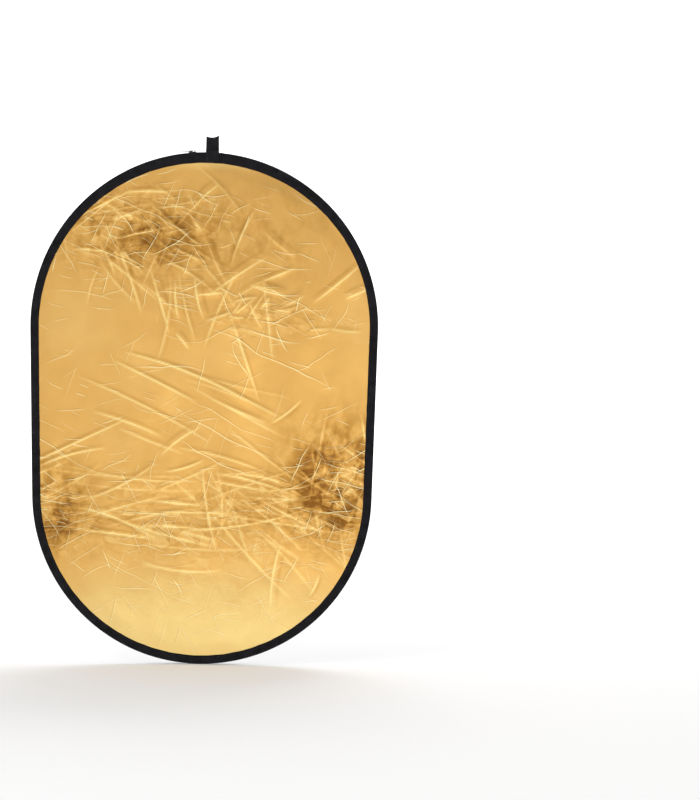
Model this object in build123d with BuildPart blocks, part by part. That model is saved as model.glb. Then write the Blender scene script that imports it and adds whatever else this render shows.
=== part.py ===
"""Collapsible reflector disc, 600 x 900 class: a sprung diffuser core in a zip-on two-sided cover.

Frame, in millimetres: origin under the rim's lowest point, at mid thickness. +Z runs up the long axis,
+X to the right of the gold face, and the gold face looks along -Y.
"""

import math
import os

from build123d import *

os.makedirs("parts", exist_ok=True)

# Outline: two circles joined by their tangents.
top_radius = 306.0
bottom_radius = 299.0
height = 900.0
# The rim's inner edge hangs a little lower at the top.
top_drop = 4.0

# Rim
rim_half = 7.0
rim_width = 15.4
edge_gap = 0.6

# Hoop of flat spring steel
hoop_inset = 6.0
hoop_thick = 1.2
hoop_width = 5.0
hoop_joint_gap = 1.0

# Zip
coil_inset = 0.4
coil_thick = 1.6
coil_from = 0.7
coil_to = 2.5
zip_left = -14.3
zip_right = 28.0
slider_angle = 4.7
slider_length = 14.0
slider_width = 7.2

# Hanging tab
tab_x = 10.0
tab_width = 23.0
tab_top = 928.0
tab_half = 1.3
anchor_low = tab_x - tab_width / 2
anchor_high = tab_x + tab_width / 2
pivot_z = 906.0


def belt(inset, drop=0.0):
    """The outline moved inwards, as a face."""
    upper = height - top_radius - drop
    lower = bottom_radius
    lean = math.asin((bottom_radius - top_radius) / (upper - lower))
    r_up = top_radius - inset
    r_low = bottom_radius - inset
    right_up = (r_up * math.cos(lean), upper + r_up * math.sin(lean))
    left_up = (-right_up[0], right_up[1])
    right_low = (r_low * math.cos(lean), lower + r_low * math.sin(lean))
    left_low = (-right_low[0], right_low[1])
    with BuildSketch(Plane.XY) as outline:
        with BuildLine():
            ThreePointArc(right_up, (0, upper + r_up), left_up)
            Line(left_up, left_low)
            ThreePointArc(left_low, (0, lower - r_low), right_low)
            Line(right_low, right_up)
        make_face()
    return outline.sketch


def ring(y_low, y_high, t_out, t_in, drop=0.0):
    """Ring between two insets, filling y_low to y_high."""
    with BuildPart() as made:
        with BuildSketch(Plane.XZ.offset(-y_high)):
            add(belt(t_out))
            add(belt(t_in, drop), mode=Mode.SUBTRACT)
        extrude(amount=y_high - y_low)
    return made.part


def sheet(y_low, y_high, inset):
    """Whole panel inside one inset."""
    with BuildPart() as made:
        with BuildSketch(Plane.XZ.offset(-y_high)):
            add(belt(inset))
        extrude(amount=y_high - y_low)
    return made.part


def block(x_low, x_high, y_low, y_high, z_low, z_high):
    """Plain block between limits."""
    with BuildPart() as made:
        with Locations(((x_low + x_high) / 2, (y_low + y_high) / 2, (z_low + z_high) / 2)):
            Box(x_high - x_low, y_high - y_low, z_high - z_low)
    return made.part


def save(built, name):
    built.part.label = name
    export_step(built.part, "parts/" + name + ".step")


# ---- Core: hoop, ferrule, diffuser, its sleeve and its seam ----

with BuildPart() as spring_hoop:
    add(ring(-hoop_width / 2, hoop_width / 2, hoop_inset, hoop_inset + hoop_thick))
    add(block(280, 320, -30, 30, 450 - hoop_joint_gap / 2, 450 + hoop_joint_gap / 2), mode=Mode.SUBTRACT)
save(spring_hoop, "spring_hoop")

with BuildPart() as hoop_ferrule:
    add(ring(-3.0, 3.0, hoop_inset - 0.7, hoop_inset + hoop_thick + 0.7))
    add(ring(-2.6, 2.6, hoop_inset - 0.1, hoop_inset + hoop_thick + 0.1), mode=Mode.SUBTRACT)
    add(block(280, 320, -10, 10, 435, 465), mode=Mode.INTERSECT)
save(hoop_ferrule, "hoop_ferrule")

with BuildPart() as diffuser_panel:
    add(sheet(-0.2, 0.2, 9.3))
save(diffuser_panel, "diffuser_panel")

with BuildPart() as diffuser_binding:
    add(ring(-3.7, 3.7, 4.4, 9.0))
    add(ring(-1.1, -0.5, 8.6, 16.0))
    add(ring(0.5, 1.1, 8.6, 16.0))
    add(ring(-3.2, 3.2, 4.9, 8.4), mode=Mode.SUBTRACT)
save(diffuser_binding, "diffuser_binding")

with BuildPart() as diffuser_thread_front:
    add(ring(-1.35, -1.1, 12.0, 12.6))
save(diffuser_thread_front, "diffuser_thread_front")

with BuildPart() as diffuser_thread_back:
    add(ring(1.1, 1.35, 12.0, 12.6))
save(diffuser_thread_back, "diffuser_thread_back")


# ---- Front cover: gold panel, white lining, binding, seam, zip tape and coil ----

with BuildPart() as gold_panel:
    add(sheet(-6.1, -5.7, 3.2))
save(gold_panel, "gold_panel")

with BuildPart() as white_lining:
    add(sheet(-5.4, -5.0, 3.2))
save(white_lining, "white_lining")

with BuildPart() as front_binding:
    add(ring(-rim_half, -6.3, edge_gap, rim_width, top_drop))
    add(ring(-rim_half, -4.0, edge_gap, 1.8))
    fillet(front_binding.edges().group_by(Axis.Y)[0].sort_by(Edge.length)[-4:], 0.6)
save(front_binding, "front_binding")

with BuildPart() as front_binding_thread:
    add(ring(-7.25, -7.0, 12.2, 12.9))
save(front_binding_thread, "front_binding_thread")

with BuildPart() as front_zip_tape:
    add(ring(-4.7, -4.2, 2.2, 14.0))
    add(ring(-4.7, -0.9, 2.2, 2.7))
    add(block(-6, 25, -30, 30, 870, 910), mode=Mode.SUBTRACT)
save(front_zip_tape, "front_zip_tape")

with BuildPart() as front_zip_coil:
    add(ring(-coil_to, -coil_from, coil_inset, coil_inset + coil_thick))
    add(block(zip_left, zip_right, -30, 30, 880, 910), mode=Mode.SUBTRACT)
save(front_zip_coil, "front_zip_coil")


# ---- Back cover: the same layers, silver outside and black inside ----

with BuildPart() as silver_panel:
    add(sheet(5.7, 6.1, 3.2))
save(silver_panel, "silver_panel")

with BuildPart() as black_lining:
    add(sheet(5.0, 5.4, 3.2))
save(black_lining, "black_lining")

# The back binding's ends butt against the webbing's back leg, which is sewn in level with it.
# Its seam sinks into a groove, so that the bound rim lies flat on a table.

with BuildPart() as back_binding:
    add(ring(6.3, rim_half, edge_gap, rim_width, top_drop))
    add(ring(4.0, rim_half, edge_gap, 1.8))
    fillet(back_binding.edges().group_by(Axis.Y)[-1].sort_by(Edge.length)[-4:], 0.6)
    add(ring(6.7, 8.0, 12.1, 13.0), mode=Mode.SUBTRACT)
    add(block(anchor_low - 0.3, anchor_high + 0.3, 3.0, 8.0, 870, 910), mode=Mode.SUBTRACT)
save(back_binding, "back_binding")

with BuildPart() as back_binding_thread:
    add(ring(6.7, 6.95, 12.2, 12.9))
    add(block(anchor_low - 0.3, anchor_high + 0.3, 3.0, 8.0, 870, 910), mode=Mode.SUBTRACT)
save(back_binding_thread, "back_binding_thread")

with BuildPart() as back_zip_tape:
    add(ring(4.2, 4.7, 2.2, 14.0))
    add(ring(0.9, 4.7, 2.2, 2.7))
    add(block(-6, 25, -30, 30, 870, 910), mode=Mode.SUBTRACT)
save(back_zip_tape, "back_zip_tape")

with BuildPart() as back_zip_coil:
    add(ring(coil_from, coil_to, coil_inset, coil_inset + coil_thick))
    add(block(zip_left, zip_right, -30, 30, 880, 910), mode=Mode.SUBTRACT)
save(back_zip_coil, "back_zip_coil")


# ---- Zip stops, at the two ends of the zip beside the tab ----


with BuildPart() as front_top_stop:
    add(block(-13.9, -11.7, -2.6, -0.6, 897.95, 899.5))
    fillet(front_top_stop.edges().filter_by(Axis.Y), 0.4)
save(front_top_stop, "front_top_stop")

with BuildPart() as back_top_stop:
    add(block(-13.9, -11.7, 0.6, 2.6, 897.95, 899.5))
    fillet(back_top_stop.edges().filter_by(Axis.Y), 0.4)
save(back_top_stop, "back_top_stop")

with BuildPart() as zip_bottom_stop:
    add(block(25.3, 27.6, -2.8, 2.8, 896.9, 899.1))
    fillet(zip_bottom_stop.edges().filter_by(Axis.Y), 0.4)
save(zip_bottom_stop, "zip_bottom_stop")


# ---- Zip slider with its bridge, and the pull on it ----

angle = math.radians(slider_angle)
slider_plane = Plane(
    origin=(-top_radius * math.sin(angle), 0, height - top_radius + top_radius * math.cos(angle)),
    x_dir=(math.cos(angle), 0, math.sin(angle)),
    z_dir=(-math.sin(angle), 0, math.cos(angle)),
)

with BuildPart() as zip_slider_body:
    with BuildSketch(slider_plane.offset(0.0)):
        RectangleRounded(slider_length, slider_width, 1.8)
    extrude(amount=1.2)
    with BuildSketch(slider_plane.offset(-1.6)):
        with Locations((0, 3.2), (0, -3.2)):
            Rectangle(slider_length - 4.0, 0.8)
    extrude(amount=1.7)
    with BuildSketch(slider_plane.offset(-3.9)):
        RectangleRounded(slider_length, slider_width, 1.8)
    extrude(amount=0.8)
    with BuildSketch(slider_plane.offset(-3.2)):
        with Locations((5.4, 0)):
            Rectangle(2.6, 0.7)
    extrude(amount=3.3)
    with BuildSketch(slider_plane.offset(1.1)):
        with Locations((4.0, 0), (-4.0, 0)):
            Rectangle(1.0, 2.4)
    extrude(amount=2.0)
    with BuildSketch(slider_plane.offset(3.0)):
        RectangleRounded(9.0, 2.4, 0.8)
    extrude(amount=0.8)
save(zip_slider_body, "zip_slider_body")

with BuildPart() as zip_pull_tab:
    with BuildSketch(slider_plane.offset(1.6)):
        with Locations((-10.7, 0)):
            RectangleRounded(22.6, 6.4, 2.2)
        with Locations((-3.0, 0)):
            RectangleRounded(7.2, 6.4, 0.6)
        with Locations((-3.3, 0)):
            Rectangle(5.4, 3.4, mode=Mode.SUBTRACT)
        with Locations((-14.2, 0)):
            SlotOverall(12.0, 3.0, mode=Mode.SUBTRACT)
    extrude(amount=1.0)
save(zip_pull_tab, "zip_pull_tab")


# ---- Top gusset, hanging tab, its anchors on both bindings, and their stitching ----

with BuildPart() as top_gusset:
    add(block(-5.0, 24.0, -3.5, 3.5, 896.4, 898.9))
    fillet(top_gusset.edges().filter_by(Axis.X), 0.8)
save(top_gusset, "top_gusset")

with BuildPart() as tab_root:
    add(block(anchor_low, anchor_high, -tab_half, tab_half, 899.2, pivot_z - tab_half - 0.3))
save(tab_root, "tab_root")

with BuildPart() as hanging_tab:
    with BuildSketch(Plane.XZ.offset(-tab_half)):
        with BuildLine():
            Polyline(
                (tab_x - tab_width / 2 + 1.2, tab_top),
                (tab_x - tab_width / 2, pivot_z),
                (tab_x + tab_width / 2, pivot_z),
                (tab_x + tab_width / 2 - 1.2, tab_top),
            )
            ThreePointArc(
                (tab_x + tab_width / 2 - 1.2, tab_top),
                (tab_x, tab_top - 3.2),
                (tab_x - tab_width / 2 + 1.2, tab_top),
            )
        make_face()
    extrude(amount=2 * tab_half)
    with BuildSketch(Plane.YZ.offset(tab_x - tab_width / 2)):
        with Locations((0, pivot_z)):
            Circle(tab_half)
    extrude(amount=tab_width)
save(hanging_tab, "hanging_tab")


def box_seam(y_low, y_high, z_low, z_high):
    """Rectangle of stitching."""
    with BuildPart() as made:
        with BuildSketch(Plane.XZ.offset(-y_high)):
            with Locations((tab_x, (z_low + z_high) / 2)):
                Rectangle(17.0, z_high - z_low)
                Rectangle(15.8, z_high - z_low - 1.2, mode=Mode.SUBTRACT)
        extrude(amount=y_high - y_low)
    return made.part


with BuildPart() as tab_thread_front:
    add(box_seam(-tab_half - 0.25, -tab_half, 909.0, 919.0))
save(tab_thread_front, "tab_thread_front")

with BuildPart() as tab_thread_back:
    add(box_seam(tab_half, tab_half + 0.25, 909.0, 919.0))
save(tab_thread_back, "tab_thread_back")

with BuildPart() as tab_anchor_front:
    add(block(anchor_low, anchor_high, -8.4, -7.35, 881.0, 898.6))
    fillet(tab_anchor_front.edges().filter_by(Axis.X), 0.35)
save(tab_anchor_front, "tab_anchor_front")

with BuildPart() as tab_anchor_back:
    add(block(anchor_low, anchor_high, 6.15, 6.8, 881.0, 898.6))
    fillet(tab_anchor_back.edges().filter_by(Axis.X), 0.2)
save(tab_anchor_back, "tab_anchor_back")

with BuildPart() as anchor_thread_front:
    add(box_seam(-8.65, -8.4, 884.0, 895.0))
save(anchor_thread_front, "anchor_thread_front")

with BuildPart() as anchor_thread_back:
    add(box_seam(6.8, 7.0, 884.0, 895.0))
save(anchor_thread_back, "anchor_thread_back")
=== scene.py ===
"""Collapsible oval reflector disc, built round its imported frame: cover, core, zip and hanging tab."""

import math
import random

import bmesh
import bpy
import numpy as np
from mathutils import Matrix, Vector, noise


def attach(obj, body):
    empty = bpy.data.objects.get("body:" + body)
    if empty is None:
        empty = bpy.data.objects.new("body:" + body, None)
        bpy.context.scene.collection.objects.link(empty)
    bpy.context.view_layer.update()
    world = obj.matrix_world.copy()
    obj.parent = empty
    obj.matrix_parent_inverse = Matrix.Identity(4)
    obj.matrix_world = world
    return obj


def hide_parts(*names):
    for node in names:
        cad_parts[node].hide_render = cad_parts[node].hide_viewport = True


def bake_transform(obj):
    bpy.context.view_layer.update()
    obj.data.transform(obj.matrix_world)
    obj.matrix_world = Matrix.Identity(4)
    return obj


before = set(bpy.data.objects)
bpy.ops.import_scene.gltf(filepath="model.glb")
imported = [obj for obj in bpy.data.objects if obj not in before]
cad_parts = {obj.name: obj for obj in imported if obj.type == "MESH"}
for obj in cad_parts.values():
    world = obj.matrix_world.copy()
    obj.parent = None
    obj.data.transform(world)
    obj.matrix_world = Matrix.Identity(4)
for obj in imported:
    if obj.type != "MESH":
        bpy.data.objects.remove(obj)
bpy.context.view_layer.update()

# ---- Gold face of the cover ----
# One sheet of gold foil laminated to thin cloth, cut to the oval and pulled flat by the hoop.
# Years of twisting it into its bag have pressed sharp folds into the foil, thickest across the lower half.

MM = 0.001
TOP_RADIUS = 0.306
LOW_RADIUS = 0.299
DISC_HEIGHT = 0.900
TOP_CENTRE = DISC_HEIGHT - TOP_RADIUS
LOW_CENTRE = LOW_RADIUS
LEAN = math.asin((TOP_RADIUS - LOW_RADIUS) / (TOP_CENTRE - LOW_CENTRE))
TOP_RUN = TOP_RADIUS * (math.pi / 2 + LEAN)
SIDE_RUN = (TOP_CENTRE - LOW_CENTRE) * math.cos(LEAN)
LOW_RUN = LOW_RADIUS * (math.pi - 2 * LEAN)
RIM_RUN = 2 * TOP_RUN + 2 * SIDE_RUN + LOW_RUN


def rim_run_and_inset(x, z):
    """Length run along the rim, leftwards from the top, and depth inside the outline, for many points."""
    side_x = np.abs(x)
    up = z - TOP_CENTRE
    low = z - LOW_CENTRE
    turn_up = np.arctan2(side_x, up)
    turn_low = np.arctan2(side_x, low)
    on_top = turn_up <= math.pi / 2 + LEAN
    on_low = turn_low >= math.pi / 2 + LEAN
    run_side = TOP_RUN - side_x * math.sin(LEAN) - up * math.cos(LEAN)
    inset_side = TOP_RADIUS - side_x * math.cos(LEAN) + up * math.sin(LEAN)
    run_low = TOP_RUN + SIDE_RUN + LOW_RADIUS * (turn_low - math.pi / 2 - LEAN)
    run = np.where(on_top, TOP_RADIUS * turn_up, np.where(on_low, run_low, run_side))
    inset = np.where(
        on_top,
        TOP_RADIUS - np.hypot(side_x, up),
        np.where(on_low, LOW_RADIUS - np.hypot(side_x, low), inset_side),
    )
    return np.where(x > 0, RIM_RUN - run, run), inset


def half_width(z, inset):
    """Half the oval's width at one height."""
    r_up = TOP_RADIUS - inset
    r_low = LOW_RADIUS - inset
    if z >= TOP_CENTRE - r_up * math.sin(LEAN):
        return math.sqrt(max(r_up**2 - (z - TOP_CENTRE) ** 2, 0.0))
    if z <= LOW_CENTRE - r_low * math.sin(LEAN):
        return math.sqrt(max(r_low**2 - (z - LOW_CENTRE) ** 2, 0.0))
    return (r_up + (z - TOP_CENTRE) * math.sin(LEAN)) / math.cos(LEAN)


def finish_piece(name, bm, material, smooth=True):
    """Turns the bmesh into a piece at the origin, with one material."""
    mesh = bpy.data.meshes.new(name)
    bm.to_mesh(mesh)
    bm.free()
    mesh.polygons.foreach_set("use_smooth", [smooth] * len(mesh.polygons))
    mesh.materials.append(material)
    piece = bpy.data.objects.new(name, mesh)
    bpy.context.scene.collection.objects.link(piece)
    return piece


def cut_oval(columns, rows, inset, y, faces_back=False):
    """Grid of cloth drawn in to the oval, standing at one depth."""
    bm = bmesh.new()
    bmesh.ops.create_grid(bm, x_segments=columns, y_segments=rows, size=1.0)
    half_height = DISC_HEIGHT / 2 - inset - 1.2 * MM
    for v in bm.verts:
        z = DISC_HEIGHT / 2 + half_height * v.co.y
        v.co = (v.co.x * half_width(z, inset), y, z)
    if faces_back:
        bmesh.ops.reverse_faces(bm, faces=bm.faces)
    return bm


def press_folds(x, z, relief, line, shade, rng, count, centre, spread, length, heading, fan, height):
    """Presses slightly bent folds into a foil: each is a sharp ridge with one short and one long slope, with
    a painted highlight along its ridge top and painted shade partway down one slope.
    """
    for _ in range(count):
        start = (rng.gauss(centre[0], spread[0]), rng.gauss(centre[1], spread[1]))
        angle = math.radians(heading + rng.gauss(0, fan))
        run = rng.uniform(*length)
        bow = rng.uniform(-0.06, 0.06) * run
        rise = height * rng.uniform(0.35, 1.0)
        short = rng.uniform(6.0, 9.0) * MM
        long = rng.uniform(9.0, 22.0) * MM
        if rng.random() < 0.5:
            short, long = long, short
        dx = x - start[0]
        dz = z - start[1]
        along = (dx * math.cos(angle) + dz * math.sin(angle)) / run
        across = -dx * math.sin(angle) + dz * math.cos(angle)
        across = across - bow * (1 - (2 * along - 1) ** 2)
        near = (along > 0) & (along < 1) & (np.abs(across) < 0.024)
        s = along[near]
        q = across[near]
        fade = np.sin(np.pi * s) ** 0.6
        slope = np.clip(np.where(q > 0, 1 - q / short, 1 + q / long), 0, 1)
        relief[near] += rise * fade * slope * slope * (3 - 2 * slope)
        strong = fade * (rise / height)
        line[near] = np.maximum(line[near], strong * np.exp(-((q / (1.5 * MM)) ** 2)))
        shade[near] = np.maximum(shade[near], strong * np.exp(-(((q - short * 0.6) / (2.6 * MM)) ** 2)))


def soft_patch(x, z, centre, radius):
    """Round soft patch, 1 in the middle."""
    return np.exp(-(((x - centre[0]) / radius[0]) ** 2) - ((z - centre[1]) / radius[1]) ** 2)


def rough_field(x, z, scale, seed):
    """Smooth seeded noise over the sheet, about -1 to 1."""
    points = zip(x * scale, z * scale)
    return np.array([noise.fractal(Vector((a, seed, b)), 0.6, 2.1, 4) for a, b in points])


def new_finish(name):
    """Material with its shader and a helper that adds and links nodes."""
    material = bpy.data.materials.new(name)
    material.use_nodes = True
    tree = material.node_tree
    return material, tree, tree.nodes["Principled BSDF"]


def add_node(tree, kind, values=None, links=None, **settings):
    """One node with its settings, socket values and incoming links."""
    node = tree.nodes.new(kind)
    for key, value in settings.items():
        setattr(node, key, value)
    for socket, value in (values or {}).items():
        node.inputs[socket].default_value = value
    for socket, source in (links or {}).items():
        tree.links.new(source, node.inputs[socket])
    return node


def start_group(name, inputs, outputs):
    """Empty shader node group with named sockets."""
    group = bpy.data.node_groups.new(name, "ShaderNodeTree")
    for label, kind in inputs:
        group.interface.new_socket(label, in_out="INPUT", socket_type=kind)
    for label in outputs:
        group.interface.new_socket(label, in_out="OUTPUT", socket_type="NodeSocketFloat")
    return group, group.nodes.new("NodeGroupInput"), group.nodes.new("NodeGroupOutput")


def add_facets(group, source, scale, turn, stretch):
    """Flat facets between folds, of one size and direction, each tilted its own way."""
    placed = add_node(group, "ShaderNodeMapping", links={"Vector": source})
    placed.inputs["Rotation"].default_value = (0, math.radians(turn), 0)
    placed.inputs["Scale"].default_value = (scale, scale, scale * stretch)
    cells = add_node(group, "ShaderNodeTexVoronoi", {"Scale": 1.0}, {"Vector": placed.outputs[0]})
    from_cell = add_node(group, "ShaderNodeVectorMath", operation="SUBTRACT")
    group.links.new(placed.outputs[0], from_cell.inputs[0])
    group.links.new(cells.outputs["Position"], from_cell.inputs[1])
    tilt = add_node(group, "ShaderNodeVectorMath", {1: (0.5, 0.5, 0.5)}, {0: cells.outputs["Color"]},
                    operation="SUBTRACT")
    facet = add_node(group, "ShaderNodeVectorMath", links={0: from_cell.outputs[0], 1: tilt.outputs[0]},
                     operation="DOT_PRODUCT")
    return facet.outputs["Value"]


def add_all(group, sources):
    """Sum of (socket, weight) pairs."""
    total = None
    for socket, weight in sources:
        part = add_node(group, "ShaderNodeMath", operation="MULTIPLY")
        group.links.new(socket, part.inputs[0])
        part.inputs[1].default_value = weight
        if total is None:
            total = part.outputs[0]
            continue
        plus = add_node(group, "ShaderNodeMath", operation="ADD")
        group.links.new(total, plus.inputs[0])
        group.links.new(part.outputs[0], plus.inputs[1])
        total = plus.outputs[0]
    return total


def add_strokes(group, source, density, turn, long, wide, thick, shift):
    """Straight or slightly bowed folds, one to a cell: a painted highlight along the top of each, painted
    shade at its base, and a low ridge.
    """
    placed = add_node(group, "ShaderNodeMapping", links={"Vector": source}, vector_type="TEXTURE")
    placed.inputs["Location"].default_value = (shift, 0.5, shift * 1.7)
    placed.inputs["Rotation"].default_value = (0, math.radians(turn), 0)
    placed.inputs["Scale"].default_value = (long, 1.0, wide)
    cell = add_node(group, "ShaderNodeVectorMath", links={0: placed.outputs[0]}, operation="FLOOR")
    inside = add_node(group, "ShaderNodeVectorMath", links={0: placed.outputs[0]}, operation="FRACTION")
    next_cell = add_node(group, "ShaderNodeVectorMath", {1: (17.3, 5.1, 9.7)}, {0: cell.outputs[0]},
                         operation="ADD")
    shape = add_node(group, "ShaderNodeTexWhiteNoise", links={"Vector": cell.outputs[0]})
    fate = add_node(group, "ShaderNodeTexWhiteNoise", links={"Vector": next_cell.outputs[0]})
    where = add_node(group, "ShaderNodeSeparateXYZ", links={0: inside.outputs[0]})
    lie = add_node(group, "ShaderNodeSeparateXYZ", links={0: shape.outputs["Color"]})
    lot = add_node(group, "ShaderNodeSeparateXYZ", links={0: fate.outputs["Color"]})

    def sum_up(first, second, operation, clamp=False):
        node = add_node(group, "ShaderNodeMath", operation=operation, use_clamp=clamp)
        for slot, value in enumerate((first, second)):
            if isinstance(value, (int, float)):
                node.inputs[slot].default_value = value
            else:
                group.links.new(value, node.inputs[slot])
        return node.outputs[0]

    along = sum_up(where.outputs["X"], 0.5, "SUBTRACT")
    across = sum_up(where.outputs["Z"], 0.5, "SUBTRACT")
    offset = sum_up(sum_up(lie.outputs["X"], 0.5, "SUBTRACT"), 0.4, "MULTIPLY")
    tilt = sum_up(sum_up(sum_up(lie.outputs["Y"], 0.5, "SUBTRACT"), 0.55, "MULTIPLY"), along, "MULTIPLY")
    square = sum_up(along, along, "MULTIPLY")
    bow = sum_up(sum_up(sum_up(lie.outputs["Z"], 0.5, "SUBTRACT"), 1.1, "MULTIPLY"), square, "MULTIPLY")
    gap = sum_up(sum_up(sum_up(across, offset, "SUBTRACT"), tilt, "SUBTRACT"), bow, "SUBTRACT")
    gap = sum_up(gap, wide, "MULTIPLY")
    reach = sum_up(sum_up(lot.outputs["X"], 0.30, "MULTIPLY"), 0.17, "ADD")
    end = sum_up(sum_up(along, 0.0, "ABSOLUTE"), reach, "DIVIDE")
    fade = add_node(group, "ShaderNodeMapRange", {"From Min": 1.0, "From Max": 0.35}, {"Value": end},
                    interpolation_type="SMOOTHSTEP")
    kept = sum_up(lot.outputs["Y"], density, "LESS_THAN")
    force = sum_up(sum_up(lot.outputs["Z"], 0.65, "MULTIPLY"), 0.35, "ADD")
    force = sum_up(sum_up(force, fade.outputs[0], "MULTIPLY"), kept, "MULTIPLY")
    # Three bands: a painted highlight along the ridge top, painted shade beside it at the base, and a broad
    # low ridge for the bump.
    bands = []
    stout = sum_up(sum_up(shape.outputs["Value"], 1.1, "MULTIPLY"), 0.6, "ADD")
    for away, breadth in ((0.0, 1.0), (1.7, 1.3), (0.0, 3.5)):
        moved = sum_up(sum_up(sum_up(gap, away * thick, "SUBTRACT"), 0.0, "ABSOLUTE"), stout, "DIVIDE")
        band = add_node(group, "ShaderNodeMapRange", {"From Min": breadth * thick, "From Max": 0.0},
                        {"Value": moved}, interpolation_type="SMOOTHSTEP")
        bands.append(sum_up(band.outputs[0], force, "MULTIPLY"))
    return bands


# Fold group: height for the bump, painted highlights along the ridge tops, painted shade at their bases,
# facets painted lighter or darker across their tilt, and cloudy noise for the gloss.
foil_folds, fold_in, fold_out = start_group(
    "foil_folds", [("Vector", "NodeSocketVector"), ("Density", "NodeSocketFloat")],
    ["Height", "Line", "FootShade", "FacetShading", "Cloudy"]
)
warp = add_node(foil_folds, "ShaderNodeTexNoise", {"Scale": 9.0, "Detail": 2.0},
                {"Vector": fold_in.outputs[0]})
warp_small = add_node(foil_folds, "ShaderNodeVectorMath", operation="SCALE", links={0: warp.outputs["Color"]})
warp_small.inputs["Scale"].default_value = 0.038
warped = add_node(foil_folds, "ShaderNodeVectorMath", operation="ADD")
foil_folds.links.new(fold_in.outputs[0], warped.inputs[0])
foil_folds.links.new(warp_small.outputs[0], warped.inputs[1])
large_facet = add_facets(foil_folds, warped.outputs[0], 24.0, 32.0, 1.8)
small_facet = add_facets(foil_folds, warped.outputs[0], 70.0, -12.0, 1.5)
cloudy = add_node(foil_folds, "ShaderNodeTexNoise", {"Scale": 9.0, "Detail": 6.0, "Roughness": 0.6},
                  {"Vector": fold_in.outputs[0]})
ridges = []
crest_highlights = []
foot_shades = []
for turn, long, wide, thick, shift in (
    (27, 0.300, 0.040, 0.00115, 0.13),
    (8, 0.170, 0.026, 0.00100, 0.41),
    (-28, 0.130, 0.030, 0.00095, 0.77),
    (62, 0.100, 0.030, 0.00085, 0.29),
    (-8, 0.075, 0.017, 0.00080, 0.95),
    (22, 0.055, 0.014, 0.00070, 0.55),
    (-70, 0.090, 0.024, 0.00080, 0.05),
):
    crest_highlight, foot_shade, ridge = add_strokes(foil_folds, warped.outputs[0], fold_in.outputs["Density"], turn, long,
                                     wide, thick, shift)
    crest_highlights.append((crest_highlight, 1.0))
    foot_shades.append((foot_shade, 1.0))
    ridges.append((ridge, 0.5))
uneven = [(large_facet, 0.6), (small_facet, 0.3), (cloudy.outputs["Fac"], 0.4)]
fold_height = add_all(foil_folds, ridges + uneven)
# The facets' heights also go to the colour: painted light and shade, lighter across one side of each facet
# and darker across the other.
fold_facet_shading = add_all(foil_folds, [(large_facet, 1.0), (small_facet, 0.8)])
foil_folds.links.new(fold_height, fold_out.inputs["Height"])
foil_folds.links.new(add_all(foil_folds, crest_highlights), fold_out.inputs["Line"])
foil_folds.links.new(add_all(foil_folds, foot_shades), fold_out.inputs["FootShade"])
foil_folds.links.new(fold_facet_shading, fold_out.inputs["FacetShading"])
foil_folds.links.new(cloudy.outputs["Fac"], fold_out.inputs["Cloudy"])


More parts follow.
